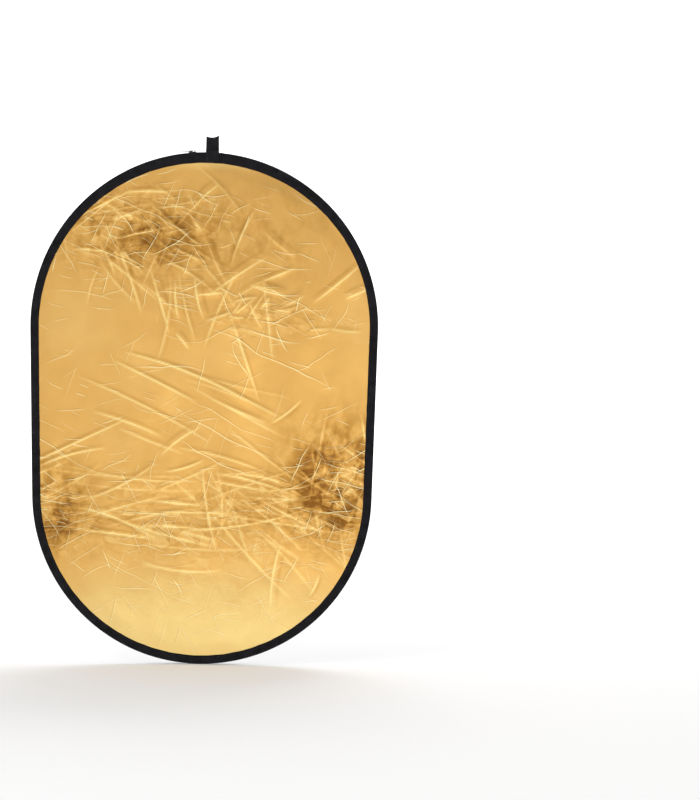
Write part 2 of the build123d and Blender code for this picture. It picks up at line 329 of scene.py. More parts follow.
def foil_finish(name, stops, crest_highlight_colour, rough_low, rough_high, metal):
    """Metallised foil: colour from the sheet's own attribute, which carries painted shade and painted
    highlights, with facets painted lighter or darker, a painted paler highlight along each fold's ridge top,
    painted shade at its base, and bump.
    """
    material, tree, shader = new_finish(name)
    place = add_node(tree, "ShaderNodeTexCoord")
    folds = tree.nodes.new("ShaderNodeGroup")
    folds.node_tree = foil_folds
    tree.links.new(place.outputs["Object"], folds.inputs["Vector"])
    tone_and_painted_light = add_node(tree, "ShaderNodeAttribute", attribute_name="tone_and_painted_light")
    creased = add_node(tree, "ShaderNodeAttribute", attribute_name="creased")
    tree.links.new(creased.outputs["Fac"], folds.inputs["Density"])
    # Painted light and shade of the facets goes into the colour, stronger where the sheet is more creased.
    dense = add_node(tree, "ShaderNodeMapRange", {"From Min": 0.25, "From Max": 0.9, "To Max": 1.3},
                     {"Value": creased.outputs["Fac"]})
    facet_light_and_shade = add_node(tree, "ShaderNodeMath", operation="MULTIPLY")
    tree.links.new(folds.outputs["FacetShading"], facet_light_and_shade.inputs[0])
    tree.links.new(dense.outputs[0], facet_light_and_shade.inputs[1])
    toned = add_node(tree, "ShaderNodeMath", {1: 0.45}, {0: facet_light_and_shade.outputs[0], 2: tone_and_painted_light.outputs["Fac"]},
                     operation="MULTIPLY_ADD")
    # Painted shade at the base of each fold.
    foot_shade = add_node(tree, "ShaderNodeMath", {1: -0.16}, {0: folds.outputs["FootShade"], 2: toned.outputs[0]},
                    operation="MULTIPLY_ADD", use_clamp=True)
    ramp = add_node(tree, "ShaderNodeValToRGB", links={"Fac": foot_shade.outputs[0]})
    ramp.color_ramp.elements[0].position = stops[0][0]
    ramp.color_ramp.elements[0].color = (*stops[0][1], 1)
    ramp.color_ramp.elements[1].position = stops[-1][0]
    ramp.color_ramp.elements[1].color = (*stops[-1][1], 1)
    for position, colour in stops[1:-1]:
        ramp.color_ramp.elements.new(position).color = (*colour, 1)
    # Painted highlight: the ridge tops mixed towards the pale highlight colour.
    crest_highlight_mix = add_node(tree, "ShaderNodeMath", {1: 0.85}, {0: folds.outputs["Line"]}, operation="MULTIPLY",
                     use_clamp=True)
    mix = add_node(tree, "ShaderNodeMix", data_type="RGBA")
    tree.links.new(crest_highlight_mix.outputs[0], mix.inputs["Factor"])
    tree.links.new(ramp.outputs["Color"], mix.inputs["A"])
    mix.inputs["B"].default_value = (*crest_highlight_colour, 1)
    tree.links.new(mix.outputs["Result"], shader.inputs["Base Color"])
    rough = add_node(tree, "ShaderNodeMapRange", {"From Min": 0.3, "From Max": 0.7, "To Min": rough_low,
                                                  "To Max": rough_high}, {"Value": folds.outputs["Cloudy"]})
    tree.links.new(rough.outputs[0], shader.inputs["Roughness"])
    shader.inputs["Metallic"].default_value = metal
    height = add_node(tree, "ShaderNodeMath", operation="MULTIPLY")
    tree.links.new(folds.outputs["Height"], height.inputs[0])
    tree.links.new(creased.outputs["Fac"], height.inputs[1])
    bump = add_node(tree, "ShaderNodeBump", {"Strength": 0.6, "Distance": 1.3 * MM},
                    {"Height": height.outputs[0]})
    tree.links.new(bump.outputs["Normal"], shader.inputs["Normal"])
    return material


# Ramp from painted shade through the foil's own gold to a painted highlight; the last colour is the painted
# highlight on the ridge tops of the folds.
gold_foil = foil_finish(
    "gold_foil",
    [
        (0.0, (0.25, 0.10, 0.015)),
        (0.33, (0.53, 0.27, 0.055)),
        (0.60, (0.75, 0.43, 0.118)),
        (1.0, (1.0, 0.78, 0.31)),
    ],
    (1.0, 0.88, 0.46),
    0.30,
    0.46,
    0.92,
)


def keep_attribute(piece, name, values):
    """Stores one number per vertex on the mesh."""
    stored = piece.data.attributes.new(name, "FLOAT", "POINT")
    stored.data.foreach_set("value", np.asarray(values, np.float32))


def sheet_points(piece):
    """All the points of a sheet, one row each."""
    co = np.zeros(len(piece.data.vertices) * 3)
    piece.data.vertices.foreach_get("co", co)
    return co.reshape(-1, 3)


def slack_from_rim(inset):
    """How free the foil is to lift: not at all beside its binding, fully from 43 mm inside the outline."""
    free = np.clip((inset - 13 * MM) / (30 * MM), 0, 1)
    return free * free * (3 - 2 * free)


CLOTH_INSET = 3.6 * MM
FOIL_DEPTH = 6.1 * MM
LINING_DEPTH = 5.55 * MM

gold_face = finish_piece("gold_face", cut_oval(264, 374, CLOTH_INSET, -FOIL_DEPTH), gold_foil)
gold_points = sheet_points(gold_face)
gx = gold_points[:, 0]
gz = gold_points[:, 2]
gold_relief = np.zeros(len(gx))
gold_crest_highlight = np.zeros(len(gx))
gold_shade = np.zeros(len(gx))
fold_rng = random.Random(11)
gold_field = (gx, gz, gold_relief, gold_crest_highlight, gold_shade, fold_rng)
press_folds(*gold_field, 26, (-0.13, 0.765), (0.07, 0.05), (0.04, 0.15), -50, 14, 0.7 * MM)
press_folds(*gold_field, 12, (-0.16, 0.775), (0.06, 0.05), (0.06, 0.15), 14, 16, 0.7 * MM)
press_folds(*gold_field, 12, (-0.05, 0.70), (0.08, 0.05), (0.05, 0.16), -80, 18, 0.6 * MM)
press_folds(*gold_field, 8, (0.06, 0.70), (0.08, 0.05), (0.06, 0.13), 48, 14, 0.4 * MM)
press_folds(*gold_field, 18, (0.08, 0.62), (0.10, 0.022), (0.02, 0.07), 14, 26, 0.6 * MM)
press_folds(*gold_field, 6, (-0.12, 0.51), (0.06, 0.03), (0.14, 0.26), -22, 5, 0.6 * MM)
press_folds(*gold_field, 5, (-0.12, 0.43), (0.12, 0.04), (0.10, 0.22), -24, 8, 0.5 * MM)
press_folds(*gold_field, 3, (-0.30, 0.35), (0.02, 0.01), (0.22, 0.34), -2, 3, 0.6 * MM)
press_folds(*gold_field, 44, (-0.14, 0.27), (0.18, 0.05), (0.06, 0.26), 6, 16, 0.6 * MM)
press_folds(*gold_field, 16, (0.02, 0.33), (0.05, 0.02), (0.06, 0.20), -62, 34, 0.6 * MM)
press_folds(*gold_field, 12, (0.08, 0.30), (0.06, 0.03), (0.10, 0.24), -33, 8, 0.6 * MM)
press_folds(*gold_field, 30, (0.22, 0.34), (0.05, 0.06), (0.03, 0.12), -55, 36, 0.5 * MM)
gold_cloud = rough_field(gx, gz, 9.0, 3.1)
gold_wave = rough_field(gx, gz, 3.4, 8.4)
gold_mottle = rough_field(gx * 1.6, gz, 26.0, 5.2)
_, gold_inset = rim_run_and_inset(gx, gz)
gold_lift = 0.5 * MM + 1.0 * MM * gold_wave + np.clip(gold_relief, 0, 2.2 * MM)
gold_points[:, 1] -= slack_from_rim(gold_inset) * np.maximum(gold_lift, -0.2 * MM)
gold_face.data.vertices.foreach_set("co", gold_points.ravel())
# Painted shade and painted highlights in the gold's colour: darker patches over the upper half and low on
# both sides, a pale band just under the top binding and a pale zone along the bottom, plus the painted
# ridge-top highlights and the painted shade beside each fold. The shade patches are broken up by noise, and a
# little random variation is added.
gold_painted_shade = (
    0.30 * soft_patch(gx, gz, (-0.110, 0.755), (0.150, 0.062))
    + 0.62 * soft_patch(gx, gz, (0.245, 0.325), (0.085, 0.090))
    + 0.46 * soft_patch(gx, gz, (-0.260, 0.270), (0.055, 0.070))
    + 0.08 * soft_patch(gx, gz, (0.14, 0.76), (0.12, 0.09))
)
gold_painted_highlight = (
    0.04 * soft_patch(gx, gz, (0.03, 0.50), (0.20, 0.16))
    + 0.75 * soft_patch(gx, gz, (0.0, 0.05), (0.34, 0.11))
    + 0.10 * soft_patch(gx, gz, (-0.20, 0.58), (0.09, 0.14))
    + 0.40 * soft_patch(gx, gz, (0.03, 0.880), (0.16, 0.010))
)
patchy = np.clip(0.8 + 1.0 * gold_cloud + 1.3 * gold_mottle, 0.0, 1.6)
gold_tone_and_painted_light = np.maximum(0.59 - gold_painted_shade * patchy + 0.42 * gold_painted_highlight + 0.05 * gold_cloud, 0.12)
keep_attribute(gold_face, "tone_and_painted_light", np.clip(gold_tone_and_painted_light + 0.54 * gold_crest_highlight - 0.16 * gold_shade, 0, 1))
creasing = (
    0.10
    + 0.66 * soft_patch(gx, gz, (-0.10, 0.76), (0.16, 0.09))
    + 0.22 * soft_patch(gx, gz, (0.0, 0.10), (0.26, 0.05))
    + 0.50 * soft_patch(gx, gz, (0.12, 0.61), (0.13, 0.035))
    + 0.20 * soft_patch(gx, gz, (-0.10, 0.45), (0.22, 0.10))
    + 0.50 * soft_patch(gx, gz, (0.0, 0.25), (0.40, 0.09))
    + 0.75 * soft_patch(gx, gz, (0.24, 0.33), (0.07, 0.08))
    + 0.35 * soft_patch(gx, gz, (-0.26, 0.27), (0.06, 0.07))
)
keep_attribute(gold_face, "creased", np.clip(creasing, 0.08, 0.80))
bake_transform(gold_face)
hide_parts("gold_panel")

# ---- White lining behind the gold face ----
# Matte white cloth laminated behind the foil: the cover turned inside out shows this side.
# It carries no gloss, only a fine plain weave and a few soft pulls.

woven, woven_in, woven_out = start_group(
    "woven_cloth", [("Vector", "NodeSocketVector"), ("Pitch", "NodeSocketFloat")], ["Height", "Slub"]
)
split = add_node(woven, "ShaderNodeSeparateXYZ", links={0: woven_in.outputs["Vector"]})
threads = []
for across in ("X", "Y"):
    turns = add_node(woven, "ShaderNodeMath", operation="DIVIDE")
    woven.links.new(split.outputs[across], turns.inputs[0])
    woven.links.new(woven_in.outputs["Pitch"], turns.inputs[1])
    round_turns = add_node(woven, "ShaderNodeMath", {1: 2 * math.pi}, {0: turns.outputs[0]},
                           operation="MULTIPLY")
    threads.append(add_node(woven, "ShaderNodeMath", links={0: round_turns.outputs[0]}, operation="SINE"))
crossing = add_node(woven, "ShaderNodeMath", links={0: threads[0].outputs[0]}, operation="MULTIPLY")
woven.links.new(threads[1].outputs[0], crossing.inputs[1])
slub = add_node(woven, "ShaderNodeTexNoise", {"Scale": 60.0, "Detail": 4.0},
                {"Vector": woven_in.outputs["Vector"]})
woven_height = add_all(woven, [(crossing.outputs[0], 0.5), (slub.outputs["Fac"], 0.7)])
woven.links.new(woven_height, woven_out.inputs["Height"])
woven.links.new(slub.outputs["Fac"], woven_out.inputs["Slub"])


def cloth_finish(name, low, high, rough, sheen, pitch, by_uv, depth=0.25):
    """Woven cloth: thread by thread bump, slubs as slight colour change, and a soft sheen."""
    material, tree, shader = new_finish(name)
    place = add_node(tree, "ShaderNodeTexCoord")
    weave = tree.nodes.new("ShaderNodeGroup")
    weave.node_tree = woven
    weave.inputs["Pitch"].default_value = pitch
    if by_uv:
        tree.links.new(place.outputs["UV"], weave.inputs["Vector"])
    else:
        upright = add_node(tree, "ShaderNodeMapping", links={"Vector": place.outputs["Object"]})
        upright.inputs["Rotation"].default_value = (math.radians(-90), 0, 0)
        tree.links.new(upright.outputs[0], weave.inputs["Vector"])
    tint = add_node(tree, "ShaderNodeMix", data_type="RGBA")
    contrast = add_node(tree, "ShaderNodeMapRange", {"From Min": 0.3, "From Max": 0.7},
                        {"Value": weave.outputs["Slub"]})
    tree.links.new(contrast.outputs[0], tint.inputs["Factor"])
    tint.inputs["A"].default_value = (*low, 1)
    tint.inputs["B"].default_value = (*high, 1)
    tree.links.new(tint.outputs["Result"], shader.inputs["Base Color"])
    roughness = add_node(tree, "ShaderNodeMapRange", {"To Min": rough - 0.06, "To Max": rough + 0.06},
                         {"Value": weave.outputs["Slub"]})
    tree.links.new(roughness.outputs[0], shader.inputs["Roughness"])
    shader.inputs["Specular IOR Level"].default_value = 0.12
    shader.inputs["Sheen Weight"].default_value = sheen
    shader.inputs["Sheen Roughness"].default_value = 0.4
    bump = add_node(tree, "ShaderNodeBump", {"Strength": 0.6, "Distance": depth * MM},
                    {"Height": weave.outputs["Height"]})
    tree.links.new(bump.outputs["Normal"], shader.inputs["Normal"])
    return material


def pulled_lining(name, material, inset, y, seed, faces_back, columns=110, rows=320):
    """Thin lining with soft pulls in it, thickened to a real cloth."""
    piece = finish_piece(name, cut_oval(columns, rows, inset, y, faces_back), material)
    points = sheet_points(piece)
    _, depth = rim_run_and_inset(points[:, 0], points[:, 2])
    loose = np.clip((depth - 15 * MM) / (50 * MM), 0, 1)
    points[:, 1] += 0.10 * MM * loose * rough_field(points[:, 0], points[:, 2], 12.0, seed)
    piece.data.vertices.foreach_set("co", points.ravel())
    cloth = piece.modifiers.new("cloth", "SOLIDIFY")
    cloth.thickness = 0.25 * MM
    cloth.offset = 0
    return piece


white_cloth = cloth_finish("white_cloth", (0.80, 0.80, 0.81), (0.88, 0.88, 0.88), 0.8, 0.1, 0.9 * MM, False)
white_side = pulled_lining("white_side", white_cloth, CLOTH_INSET, -LINING_DEPTH, 2.2, True)
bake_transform(white_side)
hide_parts("white_lining")

# ---- Silver face of the cover ----
# The back sheet: silver foil on thin cloth, held and folded like the gold one, creased most below its middle.

# Ramp from painted shade through the foil's own silver to a painted highlight; the last colour is the painted
# highlight on the ridge tops of the folds.
silver_foil = foil_finish(
    "silver_foil",
    [
        (0.0, (0.20, 0.20, 0.22)),
        (0.33, (0.45, 0.45, 0.48)),
        (0.60, (0.66, 0.66, 0.70)),
        (1.0, (0.95, 0.95, 0.98)),
    ],
    (0.98, 0.98, 1.0),
    0.24,
    0.40,
    0.92,
)
silver_face = finish_piece("silver_face", cut_oval(264, 374, CLOTH_INSET, FOIL_DEPTH, True), silver_foil)
silver_points = sheet_points(silver_face)
sx = silver_points[:, 0]
sz = silver_points[:, 2]
silver_relief = np.zeros(len(sx))
silver_crest_highlight = np.zeros(len(sx))
silver_shade = np.zeros(len(sx))
silver_rng = random.Random(29)
silver_field = (sx, sz, silver_relief, silver_crest_highlight, silver_shade, silver_rng)
press_folds(*silver_field, 110, (0.0, 0.27), (0.20, 0.07), (0.03, 0.17), -5, 32, 0.9 * MM)
press_folds(*silver_field, 40, (0.02, 0.50), (0.18, 0.12), (0.08, 0.26), 30, 25, 0.6 * MM)
press_folds(*silver_field, 36, (0.05, 0.74), (0.16, 0.08), (0.04, 0.14), -12, 40, 0.6 * MM)
silver_cloud = rough_field(sx, sz, 8.0, 5.7)
silver_wave = rough_field(sx, sz, 3.2, 1.9)
_, silver_inset = rim_run_and_inset(sx, sz)
silver_lift = 0.5 * MM + 1.0 * MM * silver_wave + np.clip(silver_relief, 0, 2.2 * MM)
silver_points[:, 1] += slack_from_rim(silver_inset) * np.maximum(silver_lift, -0.2 * MM)
silver_face.data.vertices.foreach_set("co", silver_points.ravel())
# Painted shade in the silver's colour: darker across the creased lower middle and at the upper left, plus the
# painted ridge-top highlights and the painted shade beside each fold.
silver_painted_shade = (
    0.6 * soft_patch(sx, sz, (0.05, 0.27), (0.24, 0.10))
    + 0.4 * soft_patch(sx, sz, (-0.10, 0.72), (0.12, 0.10))
)
silver_tone_and_painted_shade = 0.62 - silver_painted_shade * np.clip(0.7 + 0.9 * silver_cloud, 0.15, 1.5) + 0.10 * silver_cloud
keep_attribute(silver_face, "tone_and_painted_light", np.clip(silver_tone_and_painted_shade + 0.26 * silver_crest_highlight - 0.10 * silver_shade, 0, 1))
silver_creasing = 0.25 + 0.7 * soft_patch(sx, sz, (0.0, 0.28), (0.40, 0.13))
keep_attribute(silver_face, "creased", np.clip(silver_creasing, 0.15, 1.0))
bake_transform(silver_face)
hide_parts("silver_panel")

# ---- Black lining behind the silver face ----
# Matte black cloth, used to take light away. It shows when the cover is turned inside out or opened.

black_cloth = cloth_finish("black_cloth", (0.010, 0.010, 0.013), (0.022, 0.022, 0.027), 0.82, 0.05, 0.9 * MM,
                           False)
black_side = pulled_lining("black_side", black_cloth, CLOTH_INSET, LINING_DEPTH, 6.2, False)
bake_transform(black_side)
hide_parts("black_lining")

# ---- Bindings of the cover ----
# Black polyester tape folded over the edge of each half and stitched through foil, lining and zip tape.
# The tape eases round the ends of the oval, so it puckers a little along its inner edge.

BINDING_DROP = 4.0 * MM
TAB_X = 10.0 * MM
TAB_HALF_WIDTH = 11.5 * MM


def rim_place(run, inset):
    """Point (x, z) at one run along the rim and one inset, and the turn of its outward direction."""
    run = run % RIM_RUN
    if run < TOP_RUN or run > RIM_RUN - TOP_RUN:
        turn = run / TOP_RADIUS if run < TOP_RUN else (run - RIM_RUN) / TOP_RADIUS
        reach, centre, slide = TOP_RADIUS, TOP_CENTRE, 0.0
    elif run < TOP_RUN + SIDE_RUN or run > RIM_RUN - TOP_RUN - SIDE_RUN:
        leftwards = run < RIM_RUN / 2
        turn = math.pi / 2 + LEAN if leftwards else -math.pi / 2 - LEAN
        slide = run - TOP_RUN if leftwards else run - (RIM_RUN - TOP_RUN)
        reach, centre = TOP_RADIUS, TOP_CENTRE
    else:
        turn = math.pi / 2 + LEAN + (run - TOP_RUN - SIDE_RUN) / LOW_RADIUS
        reach, centre, slide = LOW_RADIUS, LOW_CENTRE, 0.0
    x = -(reach - inset) * math.sin(turn) - slide * math.cos(turn)
    z = centre + (reach - inset) * math.cos(turn) - slide * math.sin(turn)
    return x, z, turn


def sweep_rim(profile, step):
    """Draws one closed section of (inset, y) points round the rim: two arcs spun, two sides drawn out."""
    bm = bmesh.new()
    start_turn = math.pi / 2 + LEAN
    out = Vector((math.sin(start_turn), 0, math.cos(start_turn)))
    down = Vector((math.cos(start_turn), 0, -math.sin(start_turn)))
    corners = []
    for inset, y in profile:
        corners.append(bm.verts.new(Vector((0, y, TOP_CENTRE)) + out * (TOP_RADIUS - inset)))
    edges = [bm.edges.new((corners[i - 1], corners[i])) for i in range(len(corners))]

    def bend_round(last, centre, radius, angle):
        turned = bmesh.ops.spin(bm, geom=last, cent=(0, 0, centre), axis=(0, -1, 0), dvec=(0, 0, 0),
                                angle=angle, steps=max(8, round(radius * angle / step)), use_duplicate=False)
        return turned["geom_last"]

    def draw_straight(last, way):
        count = max(4, round(way.length / step))
        for _ in range(count):
            rim = [e for e in last if isinstance(e, bmesh.types.BMEdge)]
            drawn = bmesh.ops.extrude_edge_only(bm, edges=rim)
            last = drawn["geom"]
            moved = [v for v in last if isinstance(v, bmesh.types.BMVert)]
            bmesh.ops.translate(bm, vec=way / count, verts=moved)
            last = [e for e in last if isinstance(e, bmesh.types.BMEdge) and all(v in moved for v in e.verts)]
        return last

    last = bend_round(corners + edges, TOP_CENTRE, TOP_RADIUS, math.pi + 2 * LEAN)
    last = [e for e in last if isinstance(e, bmesh.types.BMEdge)]
    last = draw_straight(last, Vector((-down.x, 0, down.z)) * SIDE_RUN)
    last_verts = list({v for e in last for v in e.verts})
    last = bend_round(last_verts + last, LOW_CENTRE, LOW_RADIUS, math.pi - 2 * LEAN)
    last = [e for e in last if isinstance(e, bmesh.types.BMEdge)]
    draw_straight(last, Vector((-down.x, 0, -down.z)) * SIDE_RUN)
    bmesh.ops.remove_doubles(bm, verts=bm.verts, dist=0.01 * MM)
    bmesh.ops.recalc_face_normals(bm, faces=bm.faces)
    return bm


def lay_rim_uv(bm, profile):
    """UV in metres: along the rim, and across the section from its first point."""
    sides = np.array(profile + [profile[0]])
    lengths = np.concatenate([[0], np.cumsum(np.hypot(*np.diff(sides, axis=0).T))])
    co = np.array([v.co for v in bm.verts])
    run, inset = rim_run_and_inset(co[:, 0], co[:, 2])
    gaps = np.hypot(inset[:, None] - sides[None, :-1, 0], co[:, 1][:, None] - sides[None, :-1, 1])
    across = lengths[gaps.argmin(axis=1)]
    bm.verts.index_update()
    layer = bm.loops.layers.uv.new("UVMap")
    for face in bm.faces:
        ids = [corner.vert.index for corner in face.loops]
        u = [run[i] for i in ids]
        v = [across[i] for i in ids]
        if max(u) - min(u) > RIM_RUN / 2:
            u = [a + RIM_RUN if a < RIM_RUN / 2 else a for a in u]
        if max(v) - min(v) > lengths[-1] / 2:
            v = [a + lengths[-1] if a < lengths[-1] / 2 else a for a in v]
        for corner, a, b in zip(face.loops, u, v):
            corner[layer].uv = (a, b)
    return bm


def clear_way(bm, x_low, x_high, z_above):
    """Cuts a swept ring away between two places across the top, and closes its ends."""
    for x in (x_low, x_high):
        near = [f for f in bm.faces if f.calc_center_median().z > z_above]
        geom = near + list({e for f in near for e in f.edges}) + list({v for f in near for v in f.verts})
        bmesh.ops.bisect_plane(bm, geom=geom, plane_co=(x, 0, 0), plane_no=(1, 0, 0), dist=0.001 * MM)
    gone = []
    for face in bm.faces:
        middle = face.calc_center_median()
        if x_low < middle.x < x_high and middle.z > z_above:
            gone.append(face)
    bmesh.ops.delete(bm, geom=gone, context="FACES")
    bmesh.ops.holes_fill(bm, edges=[e for e in bm.edges if e.is_boundary], sides=0)
    return bm


def ease_binding(bm, side):
    """Lets the binding hang deeper at the top, and puckers it between its edge and its seam."""
    co = np.array([v.co for v in bm.verts])
    run, inset = rim_run_and_inset(co[:, 0], co[:, 2])
    for v, along, depth in zip(bm.verts, run, inset):
        height = max((v.co.z - TOP_CENTRE) / TOP_RADIUS, 0)
        inner = min(max((depth - 4 * MM) / (11 * MM), 0), 1)
        v.co.z -= BINDING_DROP * height * inner
        pucker = noise.noise(Vector((along * 95, depth * 60, side * 7.3)))
        slow = noise.noise(Vector((along * 22, 3.1, side * 2.9)))
        v.co.y += side * (0.34 * pucker + 0.25 * slow) * MM * min(depth / (4 * MM), 1)
        edge = inner**3 * 0.5 * MM * noise.noise(Vector((along * 60, 9.2, side)))
        towards = Vector((-v.co.x, 0, DISC_HEIGHT / 2 - v.co.z)).normalized()
        v.co += towards * edge
    return bm


BINDING_PROFILE = [
    (1.9, -3.9), (1.0, -3.95), (0.6, -4.2), (0.5, -4.9), (0.6, -5.7), (0.95, -6.4), (1.6, -6.85), (2.8, -7.1),
    (4.6, -7.25), (6.8, -7.3), (9.0, -7.25), (10.8, -7.1), (11.9, -6.85), (12.5, -6.75), (13.1, -6.85),
    (14.2, -7.05), (15.1, -7.0), (15.5, -6.75), (15.3, -6.45), (14.0, -6.35), (12.4, -6.35), (10.8, -6.35),
    (9.0, -6.35), (7.2, -6.35), (5.2, -6.35), (3.4, -6.35),
    (2.2, -6.1), (1.8, -5.4), (1.9, -4.4),
]

binding_cloth = cloth_finish("binding_cloth", (0.003, 0.0027, 0.0035), (0.014, 0.0125, 0.016), 0.6, 0.02,
                             1.3 * MM, True, 0.45)
front_section = [(inset * MM, y * MM) for inset, y in BINDING_PROFILE]
front_ring = ease_binding(sweep_rim(front_section, 4 * MM), -1)
front_edge = finish_piece("front_edge", lay_rim_uv(front_ring, front_section), binding_cloth)
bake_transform(front_edge)
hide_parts("front_binding")

back_section = [(inset * MM, -y * MM) for inset, y in BINDING_PROFILE]
back_ring = ease_binding(sweep_rim(back_section, 4 * MM), 1)
clear_way(back_ring, TAB_X - TAB_HALF_WIDTH - 0.2 * MM, TAB_X + TAB_HALF_WIDTH + 0.2 * MM, 0.87)
back_edge = finish_piece("back_edge", lay_rim_uv(back_ring, back_section), binding_cloth)
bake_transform(back_edge)
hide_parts("back_binding")

# ---- Seams of the bindings ----
# One row of lockstitch in black polyester thread, each stitch pulled slightly into the cloth.

thread_black = cloth_finish("thread_black", (0.012, 0.012, 0.014), (0.034, 0.034, 0.038), 0.5, 0.05,
                            0.5 * MM, False, 0.1)


def one_stitch(bm, place, along, stitch, thick):
    """One stitch: a low bead of thread drawn out along the seam."""
    side = Vector((0, 1, 0)) if abs(along.y) < 0.9 else Vector((1, 0, 0))
    turn = Matrix((along, side, along.cross(side))).transposed().to_4x4()
    size = Matrix.Diagonal((stitch / 2, thick / 2, thick / 2, 1))
    bmesh.ops.create_icosphere(bm, subdivisions=1, radius=1.0, matrix=Matrix.Translation(place) @ turn @ size)


def rim_seam(name, inset, y, pitch=4.0 * MM, drop=0.0):
    """A row of stitches round the rim at one inset."""
    bm = bmesh.new()
    count = round(RIM_RUN / pitch)
    for i in range(count):
        x, z, turn = rim_place(i * RIM_RUN / count, inset)
        z -= drop * max((z - TOP_CENTRE) / TOP_RADIUS, 0)
        along = Vector((-math.cos(turn), 0, -math.sin(turn)))
        one_stitch(bm, Vector((x, y, z)), along, pitch * 0.82, 0.62 * MM)
    return finish_piece(name, bm, thread_black)


front_seam = rim_seam("front_seam", 12.5 * MM, -6.95 * MM, drop=BINDING_DROP * 0.77)
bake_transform(front_seam)
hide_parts("front_binding_thread")
back_seam = rim_seam("back_seam", 12.5 * MM, 6.95 * MM, drop=BINDING_DROP * 0.77)
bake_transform(back_seam)
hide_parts("back_binding_thread")

# ---- Zip round the rim ----
# Two knitted tapes, each sewn under its binding, with a nylon coil along its edge. The teeth of the two coils
# lock between each other and run from the stops left of the tab round to the staple at its right.

ZIP_LEFT_RUN = 14.4 * MM
ZIP_RIGHT_X = 28.2 * MM
tape_cloth = cloth_finish("tape_cloth", (0.006, 0.006, 0.007), (0.018, 0.018, 0.021), 0.7, 0.04, 0.8 * MM,
                          True, 0.3)
TAPE_LEG = [4.0 + 1.25 * i for i in range(9)]
TAPE_PROFILE = [(2.2, -0.9), (2.15, -2.0), (2.1, -3.2), (2.15, -4.3), (2.5, -4.72)]
TAPE_PROFILE += [(inset, -4.72) for inset in TAPE_LEG]
TAPE_PROFILE += [(inset, -4.32) for inset in reversed(TAPE_LEG)]
TAPE_PROFILE += [(2.9, -4.2), (2.65, -3.2), (2.65, -0.9)]
for side, cover, node in ((1, "front_cover", "front_zip_tape"), (-1, "back_cover", "back_zip_tape")):
    section = [(inset * MM, side * y * MM) for inset, y in TAPE_PROFILE]
    ring = clear_way(sweep_rim(section, 6 * MM), -6.0 * MM, 25.0 * MM, 0.8948)
    tape = finish_piece("tape_" + cover, lay_rim_uv(ring, section), tape_cloth)
    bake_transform(tape)
    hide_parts(node)


def grained_finish(name, low, high, rough, grain, detail, metallic=1.0, drawn_out=1.0):
    """Hard surface whose colour and gloss vary between two values with a fine grain."""
    material, tree, shader = new_finish(name)
    place = add_node(tree, "ShaderNodeTexCoord")
    drawn = add_node(tree, "ShaderNodeMapping", links={"Vector": place.outputs["Object"]})
    drawn.inputs["Scale"].default_value = (1.0, drawn_out, 1.0)
    grains = add_node(tree, "ShaderNodeTexNoise", {"Scale": grain, "Detail": detail},
                      {"Vector": drawn.outputs[0]})
    tint = add_node(tree, "ShaderNodeMix", data_type="RGBA")
    tree.links.new(grains.outputs["Fac"], tint.inputs["Factor"])
    tint.inputs["A"].default_value = (*low, 1)
    tint.inputs["B"].default_value = (*high, 1)
    tree.links.new(tint.outputs["Result"], shader.inputs["Base Color"])
    gloss = add_node(tree, "ShaderNodeMapRange", {"To Min": rough[0], "To Max": rough[1]},
                     {"Value": grains.outputs["Fac"]})
    tree.links.new(gloss.outputs[0], shader.inputs["Roughness"])
    shader.inputs["Metallic"].default_value = metallic
    return material


coil_nylon = grained_finish("coil_nylon", (0.02, 0.02, 0.02), (0.06, 0.06, 0.06), (0.22, 0.42), 300.0, 3.0,
                            metallic=0.0)
COIL_PITCH = 2.0 * MM
for side, cover, node in ((-1, "front_cover", "front_zip_coil"), (1, "back_cover", "back_zip_coil")):
    teeth = bmesh.new()
    right_run = RIM_RUN - TOP_RADIUS * math.asin(ZIP_RIGHT_X / TOP_RADIUS)
    left_run = TOP_RADIUS * math.asin(ZIP_LEFT_RUN / TOP_RADIUS)
    count = int((right_run - left_run) / COIL_PITCH)
    for i in range(count):
        x, z, turn = rim_place(left_run + (i + (0.5 if side > 0 else 0.0)) * COIL_PITCH, 1.2 * MM)
        tangent = Vector((-math.cos(turn), 0, -math.sin(turn)))
        outward = Vector((-math.sin(turn), 0, math.cos(turn)))
        turned = Matrix((tangent, Vector((0, 1, 0)), outward)).transposed().to_4x4()
        size = Matrix.Diagonal((0.62 * MM, 1.45 * MM, 0.8 * MM, 1))
        place = Matrix.Translation((x, side * 1.1 * MM, z))
        bmesh.ops.create_icosphere(teeth, subdivisions=1, radius=1.0, matrix=place @ turned @ size)
    coil = finish_piece("coil_" + cover, teeth, coil_nylon)
    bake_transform(coil)
    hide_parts(node)

# ---- Zip stops, slider and pull ----
# Black nickel plate: two crimps and a staple end the zip, and a die-cast slider carries a stamped loop.

